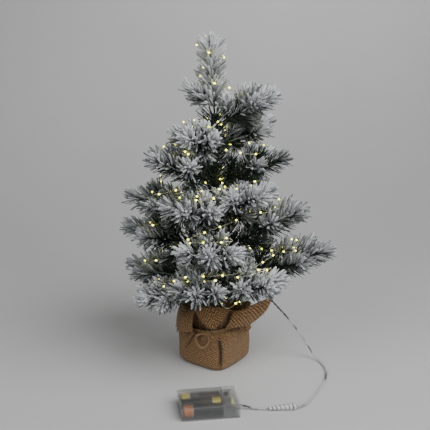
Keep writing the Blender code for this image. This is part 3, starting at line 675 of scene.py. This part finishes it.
def make_trunk_needles():
    """Dark needles wound round the trunk between the boughs, and the flock on some of them."""
    rng = np.random.default_rng(77)
    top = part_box("trunk")[1].z
    count = TRUNK_NEEDLES
    height = np.sort(rng.uniform(TRUNK_NEEDLES_START, top - 2 * MM, count))
    turn = np.arange(count) * GOLDEN_ANGLE + rng.normal(0, 0.3, count)
    lean = rng.normal(math.radians(48), math.radians(9), count)
    outward = np.stack([np.cos(turn), np.sin(turn), np.zeros(count)], -1)
    root = outward * 4 * MM + height[:, None] * np.array([0, 0, 1.0])
    direction = np.sin(lean)[:, None] * outward + np.cos(lean)[:, None] * np.array([0, 0, 1.0])
    lengths = rng.uniform(18, 27, count) * MM
    tip = root + lengths[:, None] * direction
    bend = rng.normal(0, 1.2 * MM, (count, 3))
    radii = GREEN_RADIUS * rng.uniform(0.9, 1.4, (count, 1)) * np.array(GREEN_SHAPE)
    shape = Shape()
    shape.add(*spikes(root, tip, bend, radii, np.tile([0, 0.5, 1.0], (count, 1)), 3, turn))
    needles = shape.make("trunk_green", [GREEN], smooth=False)
    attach(needles, "root")
    flocked_share = 0.18 + 0.6 * np.clip((height - TRUNK_FLOCK_START) / (60 * MM), 0, 1)
    chosen = np.flatnonzero(rng.uniform(0, 1, count) < flocked_share)
    total = len(chosen)
    share = 0.5 + 0.53 * np.tile(FLOCK_STATIONS, (total, 1))
    thick = 0.8 * FLOCK_RADIUS * rng.uniform(0.5, 1.1, (total, 5)) * np.array([0.6, 1.0, 1.0, 0.9, 0.4])
    shape = Shape()
    shape.add(*spikes(root[chosen], tip[chosen], bend[chosen], thick, share, 5, turn[chosen]))
    white = shape.make("trunk_flock", [FLOCKED])
    set_values(white, "snow", np.repeat(rng.uniform(0.2, 0.6, total), 25))
    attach(white, "root")


# ---- lights


def over_arm(arms, index, share):
    """The point above an arm's brush, at a share of the arm's length."""
    start, end = arms[index]
    stem = (arms[0][1] - arms[0][0]).normalized()
    side = stem.cross(UP).normalized()
    return start.lerp(end, share) + BRUSH_RADIUS * side.cross(stem).normalized()


def climb(low, high):
    """Two points on the way up from one tier to the next, a little outside the straight line."""
    points = []
    for share, lift in ((0.4, 0.0), (0.8, 12 * MM)):
        point = low.lerp(high, share)
        point += 15 * MM * Vector((point.x, point.y, 0)).normalized()
        point.z += lift
        points.append(point)
    return points


def add_light(shape, place, along):
    """One drop of clear resin with its light."""
    stations = np.linspace(-1, 1, 7)
    path = np.array(place) + stations[:, None] * LIGHT_HALF_LENGTH * np.array(along)
    radii = LIGHT_RADIUS * np.sqrt(np.maximum(1 - stations ** 2, 0.02))
    add_tube(shape, path, radii, 7, 1)


def make_lights(name, path, phase, body, other):
    """A stretch of the wire with its lights, on one body or from one to another.

    phase is how far along the whole wire it starts.
    """
    travelled = distances(path)
    shape = Shape()
    add_twisted(shape, path, WIRE_RADIUS, WIRE_OFFSET, WIRE_TWIST, 2, 5)
    first = math.ceil(phase / LIGHT_SPACING) * LIGHT_SPACING - phase
    for place in np.arange(first, travelled[-1], LIGHT_SPACING):
        i = min(int(np.searchsorted(travelled, place)), len(path) - 1)
        j = max(i - 1, 0)
        along = path[i] - path[j] if i != j else path[1] - path[0]
        add_light(shape, path[i], along / np.linalg.norm(along))
    lights = shape.make(name, [LIGHT_WIRE, LIGHT])
    if body == other:
        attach(lights, body)
    else:
        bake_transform(lights)
    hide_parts("light_wire")
    return travelled[-1]


def string_lights(joints):
    """Each bough with its points over its brushes, tier by tier, and whether the wire climbs to it."""
    boughs = {joint["child"]: joint for joint in joints if joint["child"].startswith("bough")}
    names = sorted(boughs)
    tiers = [names[:6], names[6:10], names[10:14], names[14:17], names[17:19], names[19:]]
    stretches = []
    for tier in tiers:
        ordered = sorted(tier, key=lambda n: math.atan2(boughs[n]["pos_m"][1], boughs[n]["pos_m"][0]))
        for place, name in enumerate(ordered):
            arms = arms_of(boughs[name], name + "_wire")
            spots = ((0, 0.5),) if name == names[-1] else ((1, 0.75), (0, 0.72), (2, 0.75))
            over = [over_arm(arms, index, share) for index, share in spots]
            climbs = place == 0 and len(stretches) > 0
            stretches.append((name, over, climbs))
    return stretches


def leader_spiral():
    """Points up round the leader."""
    route = []
    for i in range(LEADER_STEPS + 1):
        share = i / LEADER_STEPS
        centre = Vector((-7 * MM * share, 0, 0))
        height = LEADER_LIGHTS_START + LEADER_LIGHTS_RISE * share
        route.append(centre + polar(-20 - 50 * i, 19 * MM * (1 - 0.15 * share), height))
    return route


def build_lights(joints):
    """Each bough's own stretch rides on it; the ones between boughs run through a point between them and
    stay where they are, on no body.
    """
    stretches = string_lights(joints)
    stretches.append(("leader", leader_spiral(), False))
    keys = [Vector(point) * MM for point in WIRE_START]
    owners = ["root"] * len(keys)
    for name, over, climbs in stretches:
        if climbs:
            keys += climb(keys[-1], over[0])
            owners += ["root", "root"]
        else:
            middle = keys[-1].lerp(over[0], 0.5)
            outwards = Vector((middle.x, middle.y, 0)).normalized()
            keys.append(middle - 2 * MM * UP + 3 * MM * outwards)
            owners.append("root")
        keys += over
        owners += [name] * len(over)
    fine = smooth_route(keys, WIRE_STEP)
    nearest = [int(np.argmin(np.linalg.norm(fine - np.array(key), axis=1))) for key in keys]
    nearest = np.maximum.accumulate(nearest)
    phase = 0.0
    i = 0
    while i < len(keys) - 1:
        j = i + 1
        if owners[i] == owners[j]:
            while j + 1 < len(keys) and owners[j + 1] == owners[i]:
                j += 1
        path = fine[nearest[i]:nearest[j] + 1]
        if len(path) > 2:
            phase += make_lights(f"lights_{i:02d}", path, phase, owners[i], owners[j])
        i = j


# ---- burlap and twine


def turn_between(azimuth, other):
    return (np.asarray(azimuth) - other + 180) % 360 - 180


def squareness(azimuth):
    """How far out the square foot reaches at an azimuth, where 1 is the middle of a side."""
    angle = np.radians(np.asarray(azimuth) - BASE_YAW)
    return 1 / (np.cos(angle) ** 4 + np.sin(angle) ** 4) ** 0.25


def hump(azimuth, centre, width):
    """A rise that is 1 at its centre and fades out over its width, in degrees."""
    return np.exp(-((turn_between(azimuth, centre) / width) ** 2))


def pleats(azimuth):
    """Gathers under the tie: narrow ridges at uneven azimuths."""
    rng = np.random.default_rng(5)
    total = np.zeros_like(azimuth)
    at = -180.0
    while at < 178:
        width = rng.uniform(3.0, 5.5)
        total += rng.uniform(0.5, 1.0) * hump(azimuth, at, width)
        at += rng.uniform(11, 20)
    return total


def rise(height, start, length):
    """0 up to a start in millimetres, growing to 1 over the length above it."""
    return np.clip((height - start * MM) / (length * MM), 0, 1)


def cloth_row(azimuth, radius, height):
    angle = np.radians(azimuth)
    x, y = radius * np.cos(angle), radius * np.sin(angle)
    return np.stack([x, y, np.broadcast_to(height, angle.shape)], -1)


def rim_edge(azimuth):
    """The loose edge's radius and height: wider at four corners, narrower and higher in front."""
    corner = (0.5 + 0.5 * np.cos(np.radians(4 * turn_between(azimuth, -14)))) ** 2
    front = hump(azimuth, -95, 60)
    radius = 44 * MM + 8 * MM * corner - 12 * MM * front
    height = 77 * MM + 5 * MM * front
    return radius, height


def tie_height(azimuth):
    """The twine sits lower at the left."""
    return 53.5 * MM + 4 * MM * np.cos(np.radians(np.asarray(azimuth) + 10))


def neck_reach(azimuth):
    """The cloth's radius where the twine holds it."""
    return NECK_SHARE * BURLAP_HALF * (0.6 + 0.4 * squareness(azimuth))


def side_row(azimuth, height, gathers):
    """The radius and the painted shade of the cloth's side at one height, between its foot and the tie."""
    foot = 1 - 0.11 * np.clip(1 - height / (8 * MM), 0, 1) ** 2
    near_tie = rise(height, 26, 30)
    shoulder = rise(height, 40, 16)
    mix = squareness(azimuth) * (1 - 0.6 * shoulder ** 1.5) + 0.6 * shoulder ** 1.5
    radius = BURLAP_HALF * foot * mix * (1 - 0.19 * shoulder ** 2.2)
    radius += 3.2 * MM * near_tie ** 1.4 * (gathers - 0.5)

    band = rise(height, 2, 10) * np.clip((49 * MM - height) / (5 * MM), 0, 1)
    crease_at = FRONT_CREASE + 3.4 * np.sin(math.pi * np.clip(height / (48 * MM), 0, 1))
    beside = turn_between(azimuth, crease_at)
    crease = np.where(beside < 0, np.exp(-((beside / 4.2) ** 2)), np.exp(-((beside / 1.3) ** 2)))
    radius += band * (1.6 * MM * np.exp(-(((beside - 5) / 5) ** 2)) - 4.0 * MM * crease)

    slant = LEFT_CREASE - 16 * (47 * MM - height) / (19 * MM)
    left_band = rise(height, 24, 6)
    radius -= 2.8 * MM * hump(azimuth, slant, 2.6) * left_band
    radius += 1.6 * MM * hump(azimuth, slant - 7, 5) * left_band

    right_band = rise(height, 38, 4)
    radius -= 3.0 * MM * hump(azimuth, RIGHT_CREASE, 2.2) * right_band
    radius += 3.6 * MM * hump(azimuth, RIGHT_CREASE + 13, 8) * right_band

    # Painted shade: darker in the front, left and right creases, between the gathers near the tie, and
    # under the tie.
    under_tie = 0.55 * rise(height, 50, 6)
    dark = 0.75 * band * crease + 0.6 * left_band * hump(azimuth, slant, 2.2)
    dark += 0.7 * right_band * hump(azimuth, RIGHT_CREASE, 2.0) + 0.30 * near_tie * (1 - gathers).clip(0, 1)
    wrinkle = np.sin(np.radians(3 * azimuth) + height * 120)
    wrinkle = wrinkle + np.sin(np.radians(7 * azimuth) - height * 210)
    return radius + 0.35 * MM * wrinkle, np.clip(np.maximum(dark, under_tie), 0, 0.85)


def burlap_rows():
    """The wrap's rows of points from under the foot's middle up to its loose rim, and their painted shade.
    """
    azimuth = np.arange(COLUMNS) * 360 / COLUMNS - 180
    tie = tie_height(azimuth)
    gathers = pleats(azimuth)
    rows, shade = [], []
    for share in np.linspace(0.01, 0.92, 8):
        rows.append(cloth_row(azimuth, share * 0.93 * BURLAP_HALF * squareness(azimuth), 0.5 * MM))
        shade.append(np.zeros(COLUMNS))
    for level in np.concatenate([[0.6, 1.6, 3.4, 6], np.arange(9, 56, 2.2)]) * MM:
        height = level * (1 + (tie / TIE_LEVEL - 1) * (level / (56 * MM)) ** 2)
        radius, dark = side_row(azimuth, height, gathers)
        rows.append(cloth_row(azimuth, radius, height))
        shade.append(dark)
    # Painted shade on the two rows at the tie, under the twine.
    shade += [np.full(COLUMNS, 0.7), np.full(COLUMNS, 0.7)]
    neck_radius = neck_reach(azimuth) - 2.6 * MM
    rows.append(cloth_row(azimuth, neck_radius + 2.0 * MM * (gathers - 0.4), tie - 1 * MM))
    rows.append(cloth_row(azimuth, neck_radius + 1.6 * MM * (gathers - 0.4), tie + 0.5 * MM))
    rim_radius, rim_height = rim_edge(azimuth)
    start_radius = neck_radius + 1.8 * MM * (gathers - 0.4)
    swell = np.sin(np.radians(9 * azimuth + 40)) + 0.7 * np.sin(np.radians(14 * azimuth))
    for share in np.linspace(0.07, 1, 15):
        radius = start_radius + (rim_radius - start_radius) * share ** 1.15
        radius += 2.1 * MM * share * swell + 1.2 * MM * (1 - share) * (gathers - 0.4)
        height = tie + 1.5 * MM + (rim_height - tie - 1.5 * MM) * share ** 0.9
        height = height + 1.6 * MM * share * np.sin(np.radians(11 * azimuth))
        rows.append(cloth_row(azimuth, radius, height))
        # Painted shade on the rim's rows, strongest next to the tie and gone a little past halfway out.
        shade.append(np.full(COLUMNS, 0.62 * max(0.0, 1 - 1.8 * share)))
    return np.array(rows), np.array(shade)


def add_flat_map(obj, rows, columns, closed):
    """A UV map in metres along the cloth, for its weave."""
    grid = rows.reshape(len(rows), columns, 3)
    steps = np.linalg.norm(np.diff(grid, axis=0), axis=2)
    down = np.concatenate([np.zeros((1, columns)), np.cumsum(steps, axis=0)])
    down = np.repeat(down.mean(1)[:, None], columns, 1)
    if closed:
        around = np.repeat((np.arange(columns) * FLAT_AROUND / columns)[None], len(grid), 0)
    else:
        steps = np.linalg.norm(np.diff(grid, axis=1), axis=2)
        around = np.concatenate([np.zeros((len(grid), 1)), np.cumsum(steps, axis=1)], 1)
    flat = np.stack([around, down], -1).reshape(-1, 2)
    layer = obj.data.uv_layers.new(name="flat")
    corners = np.zeros(len(obj.data.loops), int)
    obj.data.loops.foreach_get("vertex_index", corners)
    values = flat[corners]
    if closed:
        for face in obj.data.polygons:
            u = values[face.loop_start:face.loop_start + face.loop_total, 0]
            if u.max() - u.min() > FLAT_AROUND / 2:
                u[u < FLAT_AROUND / 2] += FLAT_AROUND
    layer.data.foreach_set("uv", values.reshape(-1))


def thicken(obj, offset):
    """Gives a sheet its cloth's thickness, to one side of it or, with an offset of 0, to both."""
    bpy.context.view_layer.objects.active = obj
    modifier = obj.modifiers.new("thickness", "SOLIDIFY")
    modifier.thickness = BURLAP_THICKNESS
    modifier.offset = offset
    graph = bpy.context.evaluated_depsgraph_get()
    mesh = bpy.data.meshes.new_from_object(obj.evaluated_get(graph))
    obj.modifiers.clear()
    obj.data = mesh


def make_burlap():
    rows, shade = burlap_rows()
    shape = Shape()
    shape.add(rows, [grid_faces(len(rows), COLUMNS, True)])
    cloth = shape.make("burlap_cloth", [BURLAP])
    # The painted shade goes into the "fold" attribute, which darkens the burlap finish.
    set_values(cloth, "fold", shade.reshape(-1))
    add_flat_map(cloth, rows, COLUMNS, True)
    thicken(cloth, -1)
    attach(cloth, "root")
    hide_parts("burlap_wrap")
    return cloth, rows


def patch(name, top, bottom, bulge):
    """A fold of cloth between its upper and its lower edge, in millimetres, swelling out between them."""
    rows, columns = 26, 34
    upper = smooth_route([Vector(p) * MM for p in top], 0.1 * MM)
    lower = smooth_route([Vector(p) * MM for p in bottom], 0.1 * MM)
    share = np.linspace(0, 1, columns)
    upper = np.stack([np.interp(share, np.linspace(0, 1, len(upper)), upper[:, k]) for k in range(3)], -1)
    lower = np.stack([np.interp(share, np.linspace(0, 1, len(lower)), lower[:, k]) for k in range(3)], -1)
    down = np.linspace(0, 1, rows)[:, None, None]
    grid = upper[None] * (1 - down) + lower[None] * down
    outward = grid * np.array([1, 1, 0])
    outward /= np.linalg.norm(outward, axis=2)[..., None]
    wave = np.sin(9.0 * share) * 0.8 * MM + np.sin(17.0 * share + 1) * 0.35 * MM
    wave = wave[None, :, None]
    grid = grid + outward * (bulge * MM * np.sin(math.pi * down ** 0.8) + wave * (0.3 + 0.7 * down))
    shape = Shape()
    shape.add(grid, [grid_faces(rows, columns, False)])
    cloth = shape.make(name, [BURLAP])
    add_flat_map(cloth, grid, columns, False)
    thicken(cloth, 0)
    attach(cloth, "root")
    return cloth, grid


def make_folds():
    """The cloth's loose corners over the tie: a V in front, a wing at the right, a roll at the left."""
    return [
        patch(
            "burlap_front_fold",
            ((-26, -31, 86), (-14, -36, 90), (2, -37, 90), (20, -32, 86)),
            ((-20, -40, 75), (-9, -45.5, 66), (-1, -47, 62.5), (6, -44.5, 69), (17, -38, 80)),
            bulge=1.5,
        ),
        patch(
            "burlap_right_wing",
            ((24, -30, 81), (36, -33, 84), (56, -27, 91), (77, -17, 97)),
            ((14, -39, 59), (33, -36, 61), (49, -27, 61), (63, -23, 71), (73, -18, 85), (77.5, -16.5, 96)),
            bulge=2.5,
        ),
        patch(
            "burlap_left_roll",
            ((-25, -32, 84), (-36, -24, 82), (-42, -8, 80), (-41, 10, 79), (-36, 24, 79)),
            ((-29, -41, 56), (-43, -32, 52), (-51, -16, 48), (-51.5, 4, 48), (-46, 22, 54)),
            bulge=3.5,
        ),
    ]


def make_fringe(edges):
    """Loose threads along the cloth's cut edges."""
    rng = np.random.default_rng(21)
    shape = Shape()
    for grid, step in edges:
        edge, inner = grid[-1], grid[-3]
        for i in range(0, len(edge), step):
            out = (edge[i] - inner[i]) / np.linalg.norm(edge[i] - inner[i])
            tilt = rng.normal(0, 0.4, 3)
            length = rng.uniform(1.2, 4.5) * MM
            start = edge[i] - 0.8 * MM * out
            middle = edge[i] + 0.5 * length * (out + 0.5 * tilt)
            end = edge[i] + length * (out + tilt)
            add_tube(shape, smooth_route([start, middle, end], 1.5 * MM), 0.22 * MM, 4)
    fringe = shape.make("burlap_fringe", [TWINE])
    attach(fringe, "root")
    return fringe


def wind(shape, route, radius=TWINE_RADIUS, offset=TWINE_OFFSET):
    """Three-strand twine along a route."""
    add_twisted(shape, smooth_route(route, 1.0 * MM), radius, offset, TWINE_TWIST, 3, 5)


def make_twine():
    """Twine round the neck, its knot and tail, and the coil that hangs at the knot's left."""
    azimuths = np.arange(0, 361, 4)
    reach = neck_reach(azimuths) + 1.7 * MM
    shape = Shape()
    for lift, start in ((-0.9, 0.0), (1.2, 1.0)):
        wave = 0.5 * MM * np.sin(np.radians(5 * azimuths) + start)
        wind(shape, cloth_row(azimuths, reach + 0.3 * wave, tie_height(azimuths) + lift * MM + wave))
    out, side = polar(KNOT_AZIMUTH, 1.0), polar(KNOT_AZIMUTH + 90, 1.0)
    knot = polar(KNOT_AZIMUTH, reach[0] * 0.98, float(tie_height(KNOT_AZIMUTH))) + 1.5 * MM * out
    coil = [knot + 1.0 * MM * out]
    for i in range(48):
        angle = math.tau * 1.9 * i / 47 + 1.2
        size = (10.8 - 2.6 * i / 47 + 0.8 * math.sin(3 * angle)) * MM
        centre = knot - 6.5 * MM * side - 10.0 * MM * UP + (4.6 + 0.03 * i) * MM * out
        coil.append(centre + size * (math.cos(angle) * side + math.sin(angle) * (0.92 * UP - 0.25 * out)))
    wind(shape, coil, 0.58 * MM, 0.50 * MM)
    loop = []
    for i in range(24):
        angle = math.tau * i / 23
        depth = (1.2 + 0.8 * math.sin(2 * angle)) * MM
        point = knot + 2.8 * MM * math.cos(angle) * side + 2.4 * MM * math.sin(angle) * UP
        loop.append(point + depth * out)
    wind(shape, loop)
    wind(shape, [
        knot + 1.5 * MM * out,
        knot + 5 * MM * side + 3.5 * MM * out - 4 * MM * UP,
        knot + 9 * MM * side + 5.0 * MM * out - 10 * MM * UP,
    ], 0.60 * MM)
    twine = shape.make("twine_rope", [TWINE])
    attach(twine, "root")
    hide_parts("twine_tie")


# ---- the rest


def paint_nodes():
    """Finishes of the CAD nodes that stay in sight."""
    copper, gold = (0.70, 0.24, 0.10), (0.62, 0.50, 0.08)
    cells = {
        "cell_front": cell_finish("cell_copper_top", copper, False),
        "cell_middle": cell_finish("cell_gold_top", gold, True),
        "cell_rear": cell_finish("cell_gold_top_rear", gold, False),
    }
    plain = {
        "trunk": TAPE, "cement_weight": CEMENT, "battery_tray": CLEAR, "battery_lid": CLEAR,
        "switch_knob": SWITCH, "splice_sleeve": SLEEVE,
    }
    for name, node in frame["nodes"].items():
        if name.startswith("contact"):
            finish = CONTACT
        elif name.endswith("_wire"):
            finish = STEM_WIRE
        else:
            finish = plain.get(name) or cells.get(name)
        if finish:
            node.data.materials.clear()
            node.data.materials.append(finish)


def area_light(name, place, target, size, power, spread):
    """A round soft light at a place, aimed at its target; spread is in degrees."""
    light = bpy.data.lights.new(name, "AREA")
    light.shape = "DISK"
    light.size = size
    light.energy = power
    light.spread = math.radians(spread)
    made = bpy.data.objects.new(name, light)
    made.location = place
    made.rotation_euler = (Vector(target) - Vector(place)).to_track_quat("-Z", "Y").to_euler()
    bpy.context.scene.collection.objects.link(made)


def build_stage():
    """A pale sweep of paper, a big soft light at the right, a weaker one at the left, one on the wall."""
    shape = Shape()
    profile = [(PAPER_FRONT, 0.0), (PAPER_BEND, 0.0)]
    for i in range(1, 13):
        angle = math.radians(90 * i / 12)
        profile.append((PAPER_BEND + BEND_RADIUS * math.sin(angle), BEND_RADIUS * (1 - math.cos(angle))))
    profile.append((PAPER_BEND + BEND_RADIUS, PAPER_TOP))
    rows = [[(x, y, z) for x in (-PAPER_HALF_WIDTH, PAPER_HALF_WIDTH)] for y, z in profile]
    shape.add(rows, [grid_faces(len(rows), 2, False)])
    paper = shape.make("paper", [speckled("paper", 0.9, (0.50, 0.50, 0.50), (0.52, 0.52, 0.52), 3.0)])
    world = bpy.data.worlds.new("world")
    world.use_nodes = True
    background = world.node_tree.nodes["Background"]
    background.inputs["Color"].default_value = (1, 1, 1, 1)
    background.inputs["Strength"].default_value = WORLD_STRENGTH
    bpy.context.scene.world = world
    area_light("key", (1.05, -1.05, 1.35), (0.2, -0.45, 0.05), size=2.2, power=16.5, spread=85)
    area_light("fill", (-1.4, -1.6, 1.3), (0.0, -0.4, 0.15), size=2.2, power=6.0, spread=85)
    area_light("wall", (0.75, 0.35, 2.1), (0.35, 1.25, 1.35), size=0.7, power=12, spread=80)


def build():
    place_camera()
    tree_side, box_side = lead_routes()
    make_lead("lead_tree_side", tree_side, "connector", with_pieces=["splice_sleeve"])
    make_lead("lead_box_side", box_side, "object")
    joints = [joint for joint in frame["joints"] if joint["child"].startswith(("bough", "leader"))]
    for index, joint in enumerate(joints):
        make_needles(joint["child"], joint, seed=100 + index)
    make_trunk_needles()
    build_lights(joints)
    cloth, rows = make_burlap()
    folds = make_folds()
    fringe = make_fringe([(rows, 2)] + [(grid, 1) for _, grid in folds])
    make_twine()
    paint_nodes()
    build_stage()


build()
